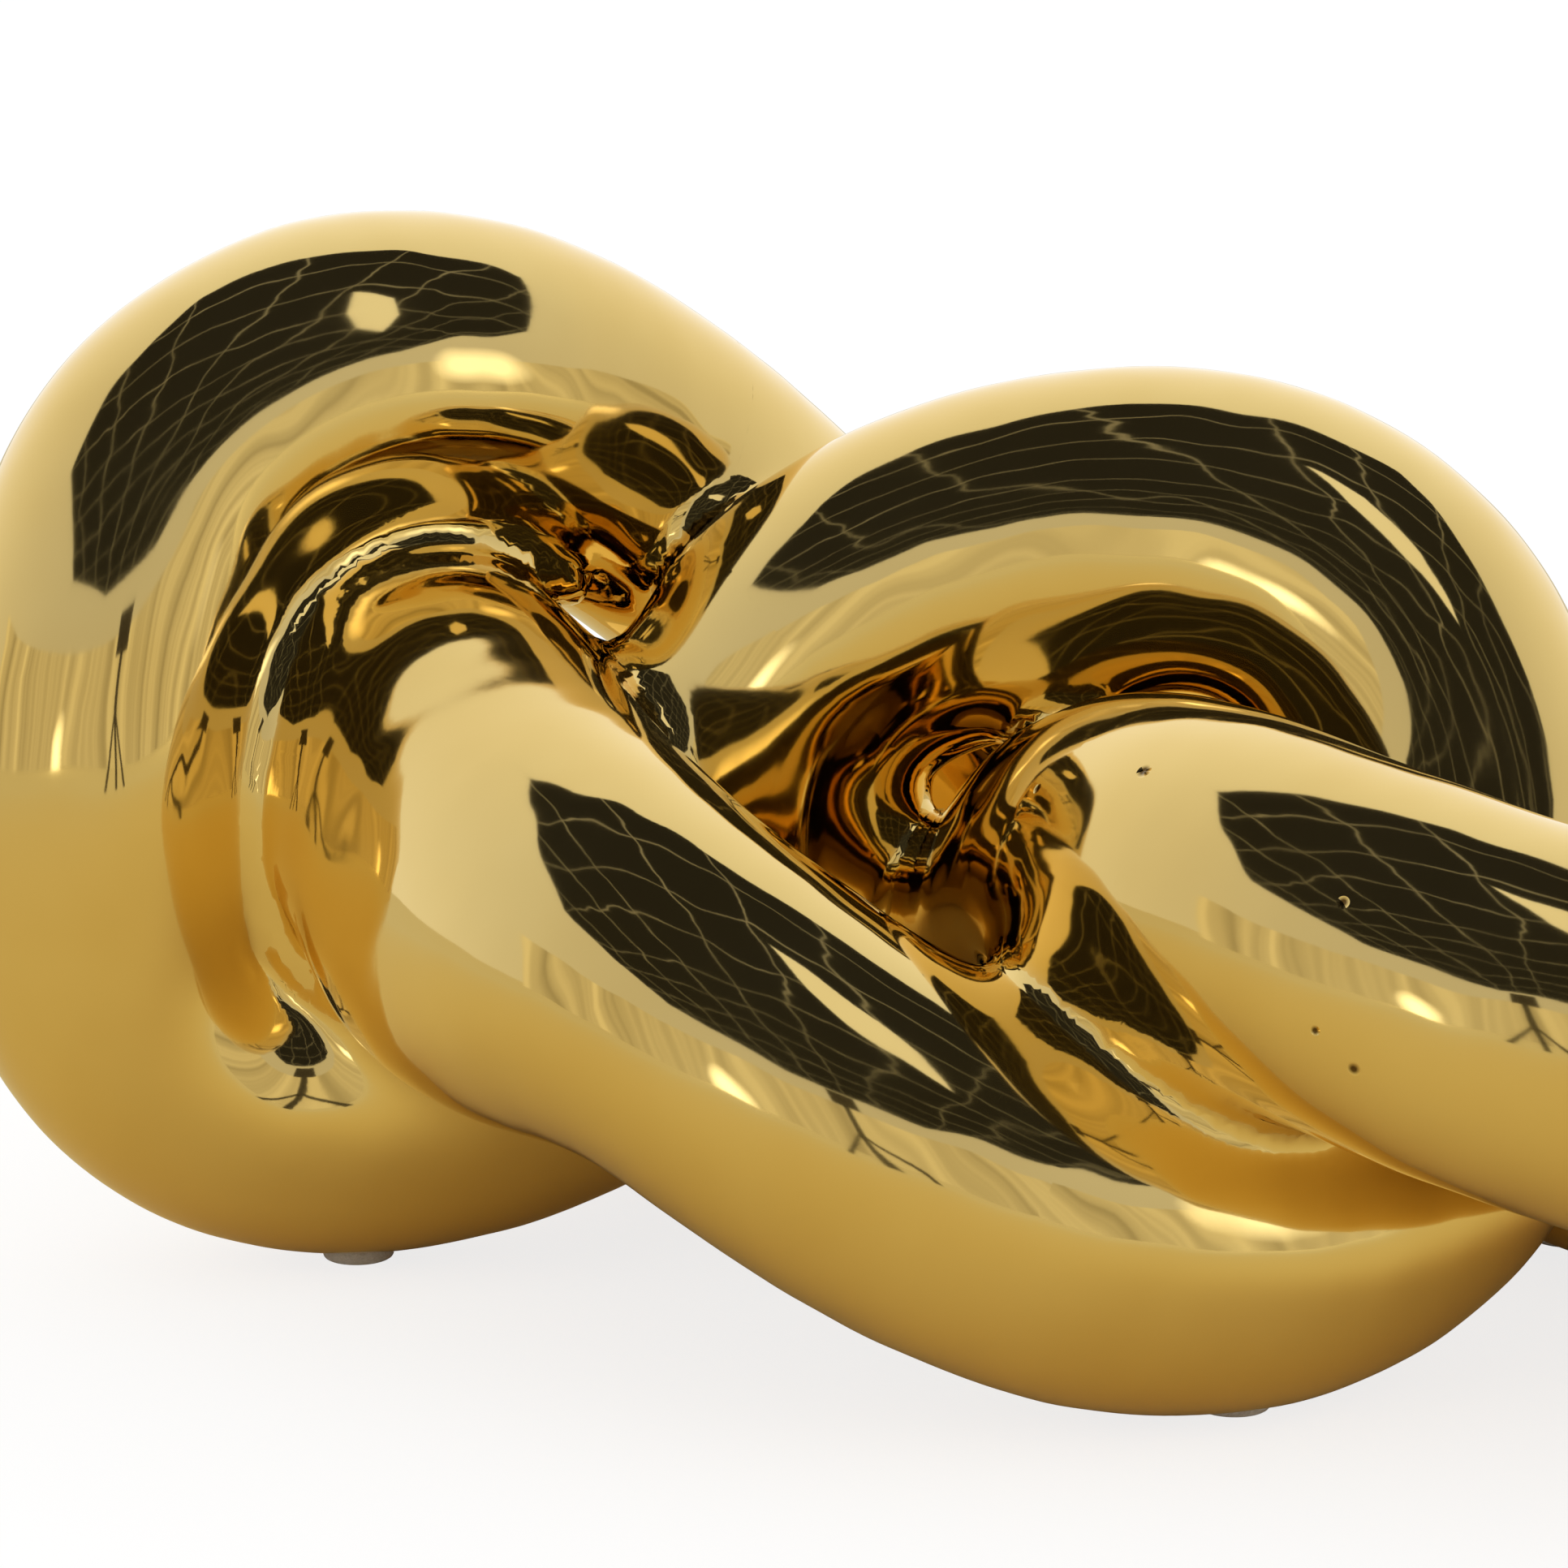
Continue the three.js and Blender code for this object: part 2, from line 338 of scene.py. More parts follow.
def skin_field(points):
    """Distance to the skin, its gradient, and each point's section, for points close to the skin."""
    far, away = strands(points)
    rows = np.arange(len(points))
    own = far.argmin(axis=0)
    other = np.where(FOLLOWS[own].T, np.inf, far).argmin(axis=0)
    own_far, other_far = far[own, rows], far[other, rows]
    field, share = smooth_least(own_far - RADIUS, other_far - RADIUS, FILLET)
    own_way = away[own, rows] / own_far[:, None]
    other_way = away[other, rows] / other_far[:, None]
    gradient = own_way * (1 - share)[:, None] + other_way * share[:, None]
    add_bead(points, field, gradient, np.flatnonzero(other_far - RADIUS < BEAD_REACH))
    height, slope = ripple(points)
    field, gradient = field - height, gradient - slope
    # Feet ground flat
    lower, share = smooth_join(-field, points[:, 2] - FOOT_Z, FLAT_EDGE)
    field = -lower
    gradient = gradient * (1 - share)[:, None] + np.array([0, 0, -1]) * share[:, None]
    # Kiln vent
    side = points - VENT_CENTRE
    side[:, 2] = 0
    wide = np.linalg.norm(side, axis=1)
    drill = np.minimum(VENT_D / 2 - wide, VENT_CENTRE[2] - RADIUS + VENT_DEPTH - points[:, 2])
    in_vent = drill > field
    field = np.where(in_vent, drill, field)
    gradient[in_vent] = -side[in_vent] / np.maximum(wide[in_vent], TINY)[:, None]
    return field, gradient, own


def grid_field():
    """Rough distance to the skin without its ripples on a grid round the knot, and the grid's low corner."""
    centres = np.concatenate([samples for _, samples in SAMPLES])
    margin = RADIUS + GRID_MARGIN * CELL
    low = centres.min(axis=0) - margin
    size = np.ceil((centres.max(axis=0) + margin - low) / CELL).astype(int) + 1
    axes = [low[k] + CELL * np.arange(size[k]) for k in range(3)]
    far = np.full((COUNT, *size), FAR_OFF, np.float32)
    for section, (places, samples) in enumerate(SAMPLES):
        inside = (FLANK_PLACES >= places[0]) & (FLANK_PLACES <= places[-1])
        samples = np.concatenate([samples, FLANK_SAMPLES[inside]])
        begin = np.maximum(np.floor((samples.min(axis=0) - margin - low) / CELL).astype(int), 0)
        stop = np.minimum(np.ceil((samples.max(axis=0) + margin - low) / CELL).astype(int) + 1, size)
        span = [axes[k][begin[k]:stop[k]].astype(np.float32) for k in range(3)]
        least = np.full([len(s) for s in span], FAR_OFF ** 2, np.float32)
        for centre in samples.astype(np.float32):
            parts = [(span[k] - centre[k]) ** 2 for k in range(3)]
            flat = parts[0][:, None] + parts[1][None, :]
            np.minimum(least, flat[:, :, None] + parts[2][None, None, :], out=least)
        view = tuple(slice(b, s) for b, s in zip(begin, stop))
        far[(section, *view)] = np.sqrt(least) - RADIUS
    own = far.argmin(axis=0)
    nearest = far.min(axis=0)
    field = nearest.copy()
    for section in range(COUNT):
        here = (own == section) & (nearest < 2 * FILLET)
        distances = far[:, here]
        distances[FOLLOWS[section]] = FAR_OFF
        field[here] = smooth_least(nearest[here], distances.min(axis=0), FILLET)[0]
    for centre, radius in zip(BEAD_CENTRES, BEAD_RADII):
        begin = np.floor((centre - radius - low) / CELL).astype(int) - BEAD_MARGIN
        stop = np.ceil((centre + radius - low) / CELL).astype(int) + BEAD_MARGIN + 1
        parts = [(axes[k][begin[k]:stop[k]] - centre[k]) ** 2 for k in range(3)]
        total = parts[0][:, None, None] + parts[1][None, :, None] + parts[2][None, None, :]
        view = tuple(slice(b, s) for b, s in zip(begin, stop))
        field[view] = np.minimum(field[view], np.sqrt(total) - radius)
    field = np.maximum(field, (FOOT_Z - axes[2])[None, None, :].astype(np.float32))
    wide = np.hypot(axes[0][:, None] - VENT_CENTRE[0], axes[1][None, :] - VENT_CENTRE[1])[:, :, None]
    deep = VENT_CENTRE[2] - RADIUS + VENT_DEPTH - axes[2][None, None, :]
    drill = np.minimum(VENT_D / 2 - wide, deep)
    return np.maximum(field, drill.astype(np.float32)), low


def surface_net(field, low):
    """Points and outward quads of the zero surface of a grid, one point in each cell that it crosses."""
    inside = field < 0
    cells = np.array(field.shape) - 1
    corners = [(i, j, k) for i in (0, 1) for j in (0, 1) for k in (0, 1)]
    filled = sum(inside[i:i + cells[0], j:j + cells[1], k:k + cells[2]].astype(np.int8)
                 for i, j, k in corners)
    active = np.argwhere((filled > 0) & (filled < len(corners)))
    numbers = np.full(cells, -1, np.int64)
    numbers[tuple(active.T)] = np.arange(len(active))
    values = np.stack([field[tuple((active + corner).T)] for corner in corners])
    total = np.zeros((len(active), 3))
    count = np.zeros(len(active))
    for a, first in enumerate(corners):
        for b, second in enumerate(corners):
            if b <= a or sum(abs(p - q) for p, q in zip(first, second)) != 1:
                continue
            crossed = (values[a] < 0) != (values[b] < 0)
            part = np.where(crossed, values[a] / np.where(crossed, values[a] - values[b], 1), 0)
            step = np.subtract(second, first)
            total += np.where(crossed[:, None], np.array(first) + part[:, None] * step, 0)
            count += crossed
    points = low + CELL * (active + total / count[:, None])
    quads = []
    for axis in range(3):
        one, two = (axis + 1) % 3, (axis + 2) % 3
        before = np.take(inside, range(cells[axis]), axis)
        after = np.take(inside, range(1, cells[axis] + 1), axis)
        edges = np.argwhere(before != after)
        edges = edges[(edges[:, one] > 0) & (edges[:, two] > 0)]
        ring = []
        for back_one, back_two in ((1, 1), (0, 1), (0, 0), (1, 0)):
            cell = edges.copy()
            cell[:, one] -= back_one
            cell[:, two] -= back_two
            ring.append(numbers[tuple(cell.T)])
        quad = np.stack(ring, axis=1)
        outward = inside[tuple(edges.T)]
        quads.append(np.where(outward[:, None], quad, quad[:, ::-1]))
    return points, np.concatenate(quads)


def settle(points, rounds):
    """Moves points onto the skin and gives their normals and sections."""
    for _ in range(rounds):
        field, gradient, own = skin_field(points)
        steep = (gradient ** 2).sum(axis=1)
        points = points - np.clip(field / steep, -CELL, CELL)[:, None] * gradient
    field, gradient, own = skin_field(points)
    normals = gradient / np.linalg.norm(gradient, axis=1)[:, None]
    return points, normals, own


def join_islands(quads, labels):
    """Gives each patch that is cut off from its own section to the section that borders it most."""
    labels = labels.copy()
    for section in range(COUNT):
        chosen = np.flatnonzero(labels == section)
        patch = quads[chosen]
        mark = np.arange(quads.max() + 1)
        least = mark[patch].min(axis=1)
        while (mark[patch] != least[:, None]).any():
            for corner in range(4):
                np.minimum.at(mark, mark[patch[:, corner]], least)
            mark = mark[mark]
            least = mark[patch].min(axis=1)
        names, counts = np.unique(least, return_counts=True)
        for name in names[counts < counts.max()]:
            island = chosen[least == name]
            round_it = np.isin(quads, quads[island]).any(axis=1) & (labels != section)
            labels[island] = np.bincount(labels[round_it]).argmax()
    return labels


def straighten_borders(points, normals, quads, labels):
    """Slides points between two sections onto the line where they meet, and finds all border points."""
    meets = np.zeros((len(points), COUNT), bool)
    for corner in range(4):
        meets[quads[:, corner], labels] = True
    border = np.flatnonzero(meets.sum(axis=1) == 2)
    pairs = np.argsort(~meets[border], axis=1, kind="stable")[:, :2]
    for a, b in np.unique(pairs, axis=0):
        chosen = border[(pairs == (a, b)).all(axis=1)]
        here = points[chosen]
        if FOLLOWS[a, b]:
            joint = STARTS[b] if b == a + 1 else STARTS[a]
            centre, slope, _ = knot_point(np.array([joint]))
            way = np.repeat(slope / np.linalg.norm(slope), len(here), axis=0)
            off = ((here - centre) * way).sum(axis=1)
        else:
            far, away = strands(here)
            off = far[a] - far[b]
            way = away[a] / far[a][:, None] - away[b] / far[b][:, None]
        way = way - (way * normals[chosen]).sum(axis=1)[:, None] * normals[chosen]
        steep = np.maximum((way ** 2).sum(axis=1), STEEP_LEAST)
        points[chosen] = here - np.clip(off / steep, -CELL, CELL)[:, None] * way
    return points, meets.sum(axis=1) > 1


def neighbour_means(rows, quads):
    """Mean of each point's neighbours along the edges of the quads."""
    sums = np.zeros_like(rows)
    count = np.zeros(len(rows))
    for corner in range(4):
        here, after = quads[:, corner], quads[:, (corner + 1) % 4]
        for axis in range(3):
            sums[:, axis] += np.bincount(here, rows[after, axis], len(rows))
            sums[:, axis] += np.bincount(after, rows[here, axis], len(rows))
        count += np.bincount(here, minlength=len(rows)) + np.bincount(after, minlength=len(rows))
    return sums / np.maximum(count, 1)[:, None]


def relax(points, normals, quads, held):
    """Evens out the points along the skin, apart from the held ones."""
    step = neighbour_means(points, quads) - points
    step -= (step * normals).sum(axis=1)[:, None] * normals
    step[held] = 0
    return points + RELAX * step


def build_skin():
    """Points, evened normals and quads of the whole skin, and the section that each quad belongs to."""
    points, quads = surface_net(*grid_field())
    points, normals, own = settle(points, FIRST_ROUNDS)
    corner_labels = own[quads]
    votes = (corner_labels[:, :, None] == corner_labels[:, None, :]).sum(axis=2)
    labels = join_islands(quads, corner_labels[np.arange(len(quads)), votes.argmax(axis=1)])
    points, border = straighten_borders(points, normals, quads, labels)
    for _ in range(RELAX_ROUNDS):
        points, normals, _ = settle(points, 1)
        points = relax(points, normals, quads, border)
    points, normals, _ = settle(points, LAST_ROUNDS)
    for _ in range(EVEN_ROUNDS):
        normals = normals + neighbour_means(normals, quads)
        normals /= np.linalg.norm(normals, axis=1)[:, None]
    return points, normals, quads, labels


def add_object(name, data):
    """A new object, linked to the scene."""
    made = bpy.data.objects.new(name, data)
    bpy.context.scene.collection.objects.link(made)
    return made


def shell_piece(name, points, normals, quads):
    """One section's glazed wall: its share of the skin, the same inside the wall, and a rim between them."""
    used, corners = np.unique(quads, return_inverse=True)
    corners = corners.reshape(quads.shape)
    outer, out_normals = points[used], normals[used]
    inner = outer - WALL * out_normals
    number = len(used)
    edges = np.concatenate([corners[:, [k, (k + 1) % 4]] for k in range(4)])
    keys = edges[:, 0] * number + edges[:, 1]
    start, end = edges[~np.isin(edges[:, 1] * number + edges[:, 0], keys)].T
    rims = np.stack([end, start, start + number, end + number], axis=1)
    faces = np.concatenate([corners, corners[:, ::-1] + number, rims])
    mesh = bpy.data.meshes.new(name)
    mesh.from_pydata((np.concatenate([outer, inner]) * MM).tolist(), [], faces.tolist())
    mesh.update()
    mesh.shade_smooth()
    loops = np.zeros((len(faces) * 4, 3))
    flat = faces[:len(corners) * 2].ravel()
    loops[:len(flat)] = np.concatenate([out_normals, -out_normals])[flat]
    mesh.normals_split_custom_set(loops.tolist())
    return add_object(name, mesh)


def felt_disc(name, node):
    """A pressed felt disc in a pad's place, with worn round edges."""
    low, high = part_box(node)
    centre = [(low[k] + high[k]) / 2 for k in range(2)]
    radius, thick = (high[0] - low[0]) / 2, high[2] - low[2]
    rounding = thick * PAD_ROUNDING
    bends = [math.pi / 2 * step / PAD_STEPS for step in range(PAD_STEPS + 1)]
    profile = [(radius * PAD_INNER, 0)]
    profile += [(radius - rounding * (1 - math.sin(b)), rounding * (1 - math.cos(b))) for b in bends]
    profile += [(radius - rounding * (1 - math.cos(b)), thick - rounding * (1 - math.sin(b))) for b in bends]
    profile += [(radius * PAD_INNER, thick)]
    turns = [2 * math.pi * k / PAD_SIDES for k in range(PAD_SIDES)]
    build = bmesh.new()
    bottom = build.verts.new((*centre, low[2]))
    top = build.verts.new((*centre, high[2]))
    rings = []
    for out, up in profile:
        places = [(centre[0] + out * math.cos(t), centre[1] + out * math.sin(t), low[2] + up) for t in turns]
        rings.append([build.verts.new(place) for place in places])
    for k in range(PAD_SIDES):
        after = (k + 1) % PAD_SIDES
        build.faces.new((bottom, rings[0][after], rings[0][k]))
        build.faces.new((top, rings[-1][k], rings[-1][after]))
        for lower, upper in zip(rings, rings[1:]):
            build.faces.new((lower[k], lower[after], upper[after], upper[k]))
    mesh = bpy.data.meshes.new(name)
    build.to_mesh(mesh)
    build.free()
    mesh.shade_smooth()
    return add_object(name, mesh)


def feed(tree, value, socket):
    """Links another node's output to a socket, or sets the socket to a plain value."""
    if isinstance(value, bpy.types.NodeSocket):
        tree.links.new(value, socket)
    else:
        socket.default_value = value


def operation_node(tree, kind, operation, *inputs):
    """A new node that works one operation on inputs in order."""
    made = tree.nodes.new(kind)
    made.operation = operation
    for value, socket in zip(inputs, made.inputs):
        feed(tree, value, socket)
    return made


class Shader:
    """A new material with its node tree, and short ways to add nodes to it."""

    # Sockets of a colour mix, by number because each of its data types repeats their names
    MIX_SHARE, MIX_FIRST, MIX_SECOND, MIX_RESULT = 0, 6, 7, 2

    def __init__(self, name):
        self.material = bpy.data.materials.new(name)
        self.material.use_nodes = True
        self.tree = self.material.node_tree
        self.surface = self.tree.nodes["Principled BSDF"]

    def set(self, **inputs):
        """Sets or links inputs of the surface."""
        for name, value in inputs.items():
            feed(self.tree, value, self.surface.inputs[name.replace("_", " ")])

    def node(self, kind, **inputs):
        """A new node with inputs by name."""
        made = self.tree.nodes.new(kind)
        for name, value in inputs.items():
            feed(self.tree, value, made.inputs[name.replace("_", " ")])
        return made

    def math(self, operation, *inputs):
        return operation_node(self.tree, "ShaderNodeMath", operation, *inputs).outputs[0]

    def vector_math(self, operation, *inputs):
        return operation_node(self.tree, "ShaderNodeVectorMath", operation, *inputs).outputs

    def place(self):
        return self.node("ShaderNodeTexCoord").outputs["Object"]

    def parts(self, vector):
        return self.node("ShaderNodeSeparateXYZ", Vector=vector).outputs

    def from_middle(self):
        """Level distance from the object's own middle."""
        here = self.parts(self.place())
        squares = [self.math("MULTIPLY", here[axis], here[axis]) for axis in ("X", "Y")]
        return self.math("SQRT", self.math("ADD", *squares))

    def noise(self, scale, detail=2.0, roughness=0.5, distortion=0.0):
        made = self.node("ShaderNodeTexNoise", Vector=self.place(), Scale=scale, Detail=detail,
                         Roughness=roughness, Distortion=distortion)
        return made.outputs["Fac"]

    def spread(self, value, source, target=(0, 1)):
        """Spreads a range of values over another range, clamped at its ends."""
        made = self.node("ShaderNodeMapRange", Value=value, From_Min=source[0], From_Max=source[1],
                         To_Min=target[0], To_Max=target[1])
        return made.outputs["Result"]

    def blend(self, share, first, second):
        """Mix of two colours."""
        made = self.tree.nodes.new("ShaderNodeMix")
        made.data_type = "RGBA"
        for number, value in ((self.MIX_SHARE, share), (self.MIX_FIRST, first), (self.MIX_SECOND, second)):
            feed(self.tree, value, made.inputs[number])
        return made.outputs[self.MIX_RESULT]

    def bump(self, height, distance):
        made = self.node("ShaderNodeBump", Height=height, Distance=distance, Strength=1.0)
        self.set(Normal=made.outputs["Normal"])

    def finish(self, result):
        """Makes a shader node's output the material's surface."""
        self.tree.links.new(result, self.tree.nodes["Material Output"].inputs["Surface"])
        return self.material


# Gold lustre: its tones, spots, wear and orange peel, and its pinholes with centre and width in millimetres
GOLD_DEEP = (0.80, 0.575, 0.20, 1)
GOLD_PALE = (0.85, 0.635, 0.245, 1)
GOLD_SPOTS = {"scale": 22, "detail": 3}
GOLD_SPOT_RANGE = (0.35, 0.65)
GOLD_WEAR = {"scale": 35, "detail": 4, "roughness": 0.6}
GOLD_WEAR_RANGE = (0.3, 0.75)
GOLD_ROUGHNESS = (0.035, 0.085)
PEEL_SCALE = 420
PEEL_SHARE = 0.006
HOLE_COLOR = (0.12, 0.07, 0.02, 1)
HOLE_RANGE = (0.1, 0.6)
HOLE_DEPTH = 0.3
PINHOLES = [
    ((66.71, -80.78, 76.06), 1.6), ((69.01, -83.67, 57.02), 1.8), ((64.36, -83.52, 61.22), 1.3),
    ((37.61, -62.47, 85.99), 2.2), ((21.11, -52.85, 80.97), 1.5),
]

# Fired slip
SLIP_DARK = (0.62, 0.55, 0.45, 1)
SLIP_LIGHT = (0.82, 0.77, 0.68, 1)
SLIP_SPECKLE = {"scale": 900, "detail": 3, "roughness": 0.7}
SLIP_SPECKLE_RANGE = (0.42, 0.62)
SLIP_PATCHES = {"scale": 300}
SLIP_PATCH_RANGE = (0.3, 0.7)
SLIP_ROUGHNESS = (0.75, 0.95)
SLIP_GRIT = {"scale": 1400, "detail": 4, "roughness": 0.7}
SLIP_GRIT_HIGH = 0.2

# Wool felt
FELT_DARK = (0.62, 0.58, 0.50, 1)
FELT_LIGHT = (0.80, 0.77, 0.70, 1)
FELT_FIBRES = {"scale": 1500, "detail": 5, "roughness": 0.75, "distortion": 1.5}
FELT_TONE_RANGE = (0.35, 0.65)
FELT_MATT_RANGE = (0.3, 0.7)
FELT_ROUGHNESS = (0.85, 1.0)
FELT_FIBRES_HIGH = 0.4
FELT_SHEEN, FELT_SHEEN_ROUGHNESS = 0.5, 0.6


def gold_lustre():
    """Fired gold lustre over glaze: a tinted mirror with thin spots, faint orange peel and pinholes."""
    shader = Shader("gold_lustre")
    holes = None
    for hole, width in PINHOLES:
        centre = [number * MM for number in hole]
        gap = shader.vector_math("DISTANCE", shader.place(), centre)["Value"]
        depth = shader.spread(gap, (0, width * MM / 2), (1, 0))
        holes = depth if holes is None else shader.math("MAXIMUM", holes, depth)
    spots = shader.spread(shader.noise(**GOLD_SPOTS), GOLD_SPOT_RANGE)
    tone = shader.blend(spots, GOLD_DEEP, GOLD_PALE)
    color = shader.blend(shader.spread(holes, HOLE_RANGE), tone, HOLE_COLOR)
    wear = shader.spread(shader.noise(**GOLD_WEAR), GOLD_WEAR_RANGE, GOLD_ROUGHNESS)
    shader.set(Metallic=1.0, Base_Color=color, Roughness=wear)
    peel = shader.math("MULTIPLY", shader.noise(PEEL_SCALE), PEEL_SHARE)
    shader.bump(shader.math("ADD", peel, shader.math("MULTIPLY", holes, -1.0)), HOLE_DEPTH * MM)
    return shader.material


def slip():
    """Fired slip: chalky, speckled and a little gritty."""
    shader = Shader("slip")
    speckle = shader.spread(shader.noise(**SLIP_SPECKLE), SLIP_SPECKLE_RANGE)
    patches = shader.spread(shader.noise(**SLIP_PATCHES), SLIP_PATCH_RANGE, SLIP_ROUGHNESS)
    shader.set(Base_Color=shader.blend(speckle, SLIP_DARK, SLIP_LIGHT), Roughness=patches)
    shader.bump(shader.noise(**SLIP_GRIT), SLIP_GRIT_HIGH * MM)
    return shader.material


def felt():
    """Pressed wool felt: matted pale fibres with a soft sheen."""
    shader = Shader("felt")
    shader.set(Sheen_Weight=FELT_SHEEN, Sheen_Roughness=FELT_SHEEN_ROUGHNESS)
    fibres = shader.noise(**FELT_FIBRES)
    tone = shader.spread(fibres, FELT_TONE_RANGE)
    matt = shader.spread(fibres, FELT_MATT_RANGE, FELT_ROUGHNESS)
    shader.set(Base_Color=shader.blend(tone, FELT_DARK, FELT_LIGHT), Roughness=matt)
    shader.bump(fibres, FELT_FIBRES_HIGH * MM)
    return shader.material


GOLD = gold_lustre()
SLIP = slip()
FELT = felt()

points, normals, quads, labels = build_skin()
for section, name in enumerate(NAMES):
    piece = shell_piece(name + "_glaze", points, normals, quads[labels == section])
    piece.data.materials.append(GOLD)
    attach(piece, "root")
    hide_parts(name)
for name in PADS:
    piece = felt_disc(name + "_disc", name)
    piece.data.materials.append(FELT)
    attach(piece, "root")
    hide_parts(name)
for name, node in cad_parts.items():
    if name.startswith("slip_ring"):
        node.data.materials.clear()
        node.data.materials.append(SLIP)

# Camera at the photograph's viewing angle
CAMERA_AT = Vector((185.41, -596.02, 197.34)) * MM
CAMERA_TO = Vector((-28.99, -6.82, 69.14)) * MM
CAMERA_SENSOR = 36
CAMERA_LENS = 106.94
camera_data = bpy.data.cameras.new("camera")
camera_data.sensor_width = CAMERA_SENSOR
camera_data.lens = CAMERA_LENS
camera = add_object("camera", camera_data)
camera.location = CAMERA_AT
camera.rotation_euler = (CAMERA_TO - CAMERA_AT).to_track_quat("-Z", "Y").to_euler()
bpy.context.scene.camera = camera

# Studio, turned to the camera: X to its right, Y away from it, in metres
STUDIO_TURN = math.radians(20)
AIM_Z = 0.07

# Floor: to every ray but the camera's, painted gold light from the lustre near the knot, fading to its own
# paler tone further off, and its white for the camera
FLOOR_HALF = 8.0
FLOOR_NEAR_GOLD_BOUNCE = (0.92, 0.77, 0.41, 1)
FLOOR_OPEN = (0.90, 0.84, 0.64, 1)
FLOOR_NEAR, FLOOR_FAR = 0.15, 0.8
FLOOR_PALE = (0.85, 0.85, 0.85, 1)
FLOOR_WHITE = 0.62
FLOOR_GLOW = 1.27

# Dark screen overhead with a net of glowing seams, painted lines of light for the lustre to mirror, and a
# bright opening in it
SCREEN_Z = 1.3
SCREEN_X, SCREEN_Y = 0.1, -1.3
SCREEN_HALF = 1.7
SCREEN_DARK = 0.02
SCREEN_SEAM_GLOW = 0.25
NET_CELL = 0.38
NET_LINE = 0.010
NET_WANDER = 0.45
NET_WANDER_SCALE, NET_WANDER_DETAIL = 1.3, 3.0
WINDOW = ((0.2, -0.3), (0.48, -0.4), (0.7, -0.68), (0.85, -1.1), (0.55, -0.9), (0.33, -0.62))
WINDOW_DROP = 0.01
WINDOW_COLOR = (0.9, 0.9, 0.9, 1)

# Pale glowing curtain on the camera's side, its soft folds painted into its glow as light and shade on a
# smooth sheet
CURTAIN_R, CURTAIN_HIGH = 1.9, 0.62
CURTAIN_FROM, CURTAIN_TO = math.radians(-80), math.radians(85)
CURTAIN_STEPS = 40
CURTAIN_FOLD_SHADE, CURTAIN_FOLD_LIT = (0.42, 0.385, 0.29, 1), (0.86, 0.81, 0.66, 1)
CURTAIN_FOLDS, CURTAIN_DETAIL = 9.0, 4.0
CURTAIN_RANGE = (0.3, 0.7)

# Camera stand: head, column and three legs, as corners to the right and up
STAND_Y = -0.75
STAND_COLOR = (0.05, 0.045, 0.04, 1)
STAND_SHAPES = (
    ((-0.05, 0.26), (0.05, 0.26), (0.05, 0.33), (-0.05, 0.33)),
    ((-0.012, 0.12), (0.012, 0.12), (0.012, 0.26), (-0.012, 0.26)),
    ((-0.1, 0.0), (-0.08, 0.0), (0.0, 0.13), (-0.012, 0.13)),
    ((0.0, 0.0), (0.02, 0.0), (0.008, 0.13), (-0.008, 0.13)),
    ((0.08, 0.0), (0.1, 0.0), (0.012, 0.13), (0.0, 0.13)),
)

# Softboxes: turn and rise in degrees, distance, width, height and glow
SOFTBOXES = {
    "left_softbox": (-29, 0, 1.6, 0.2, 0.4, 2.4),
    "right_softbox": (54, 13, 1.7, 0.36, 0.6, 1.7),
}
SOFTBOX_FACE = 0.6
SOFTBOX_FADE = (0.3, 1.0)

# Levels of the light all round: in reflections from the front and the back, and on everything else
FRONT_LEVEL, BACK_LEVEL, LEVEL_POWER = 0.6, 1.1, 1.6
DIFFUSE_LEVEL = 0.72


def stage_mesh(name, corners, faces, material):
    """A thing of the studio, from its corners in the studio's own axes."""
    mesh = bpy.data.meshes.new(name)
    mesh.from_pydata(corners, [], faces)
    mesh.materials.append(material)
    sheet = add_object(name, mesh)
    sheet.rotation_euler = (0, 0, STUDIO_TURN)
    return sheet


def level_sheet(name, outline, up, material):
    """A flat level sheet of the studio, from its outline."""
    corners = [(x, y, up) for x, y in outline]
    return stage_mesh(name, corners, [tuple(range(len(corners)))], material)


def only_reflected(sheet):
    """Leaves a sheet to the reflections alone."""
    sheet.visible_camera = False
    sheet.visible_diffuse = False
    sheet.visible_shadow = False
    sheet.visible_transmission = False


def glowing(shader, color, share=None):
    """Turns a material into plain emission of a colour, see-through where a given share is 0."""
    shader.tree.nodes.remove(shader.surface)
    result = shader.node("ShaderNodeEmission", Color=color).outputs[0]
    if share is not None:
        mix = shader.tree.nodes.new("ShaderNodeMixShader")
        clear = shader.node("ShaderNodeBsdfTransparent").outputs[0]
        for value, socket in zip((share, clear, result), mix.inputs):
            feed(shader.tree, value, socket)
        result = mix.outputs[0]
    return shader.finish(result)


def curtain_material():
    """Pale glowing cloth, with the light and shade of soft upright folds painted in."""
    shader = Shader("curtain")
    here = shader.parts(shader.place())
    around = shader.math("ARCTAN2", here["X"], shader.math("MULTIPLY", here["Y"], -1.0))
    folds = shader.tree.nodes.new("ShaderNodeTexNoise")
    folds.noise_dimensions = "1D"
    for name, value in (("W", around), ("Scale", CURTAIN_FOLDS), ("Detail", CURTAIN_DETAIL)):
        feed(shader.tree, value, folds.inputs[name])
    # Painted shade and light of the folds, from the dark to the pale tone round the curtain
    tone = shader.spread(folds.outputs["Fac"], CURTAIN_RANGE)
    return glowing(shader, shader.blend(tone, CURTAIN_FOLD_SHADE, CURTAIN_FOLD_LIT))


def softbox_material(name, glow):
    """A softbox as the lustre mirrors it: brightest in the middle, fading to nothing at its rim."""
    shader = Shader(name)
    share = shader.spread(shader.from_middle(), SOFTBOX_FADE, (1, 0))
    return glowing(shader, (glow, glow, glow, 1), share)


